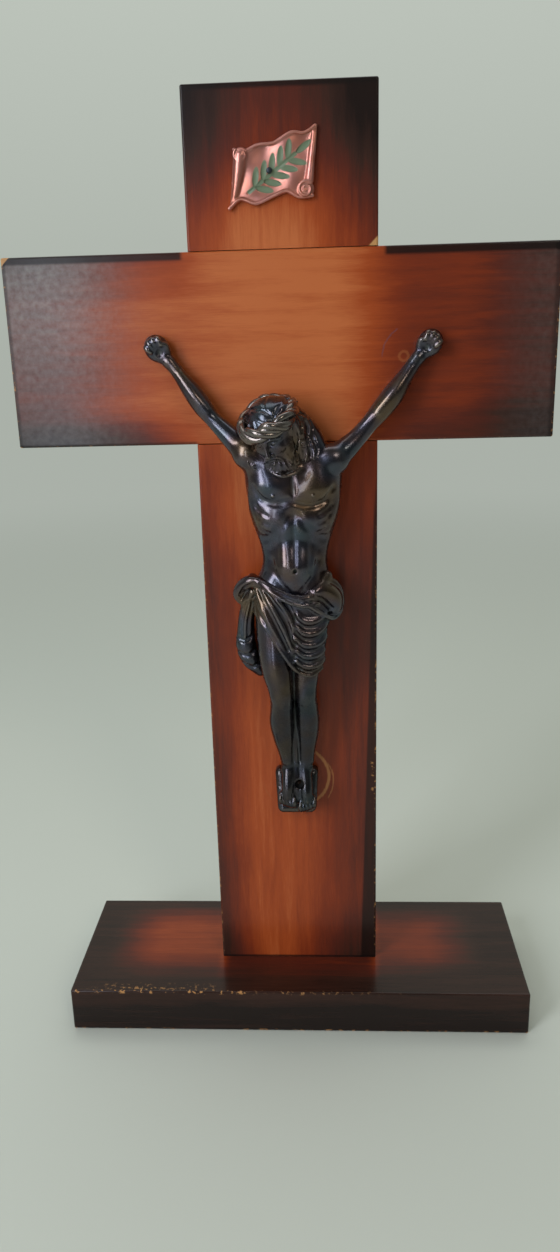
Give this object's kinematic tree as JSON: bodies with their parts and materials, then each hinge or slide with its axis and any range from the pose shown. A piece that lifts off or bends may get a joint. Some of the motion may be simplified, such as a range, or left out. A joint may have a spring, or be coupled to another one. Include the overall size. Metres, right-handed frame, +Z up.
{
  "type": "altar cross",
  "caption": "Standing wooden cross on an oblong base, with a cast metal figure and a small title scroll pinned to its front.",
  "frame": {"origin": "centre of the base's underside, where the cross rests", "axes": "+Z up along the post; -Y towards the front, which carries the figure; +X to the right of someone facing the front"},
  "size_m": [0.207, 0.0708, 0.378],
  "materials": {
    "stained_wood_base": "dark stain under lacquer, gloss",
    "stained_wood_upright": "mahogany stain under lacquer, gloss",
    "stained_wood_crossbar": "mahogany stain under lacquer, gloss",
    "bronzed_casting": "dark bronze patina, polished relief",
    "coppered_stamping": "aged copper, green in the recesses",
    "brown_pins": "dark bronzed, worn on the dome",
    "copper_pin": "aged copper",
    "steel_brads": "dull",
    "steel_screws": "plain zinc, dull"
  },
  "bodies": {
    "root": {"base_board": "stained_wood_base", "upright": "stained_wood_upright", "crossbar": "stained_wood_crossbar", "corpus": "bronzed_casting", "title_scroll": "coppered_stamping", "right_hand_pin": "brown_pins", "left_hand_pin": "brown_pins", "foot_pin": "brown_pins", "scroll_pin": "copper_pin", "lap_brad_lower": "steel_brads", "lap_brad_upper": "steel_brads", "base_screw_right": "steel_screws", "base_screw_left": "steel_screws"}
  },
  "joints": []
}
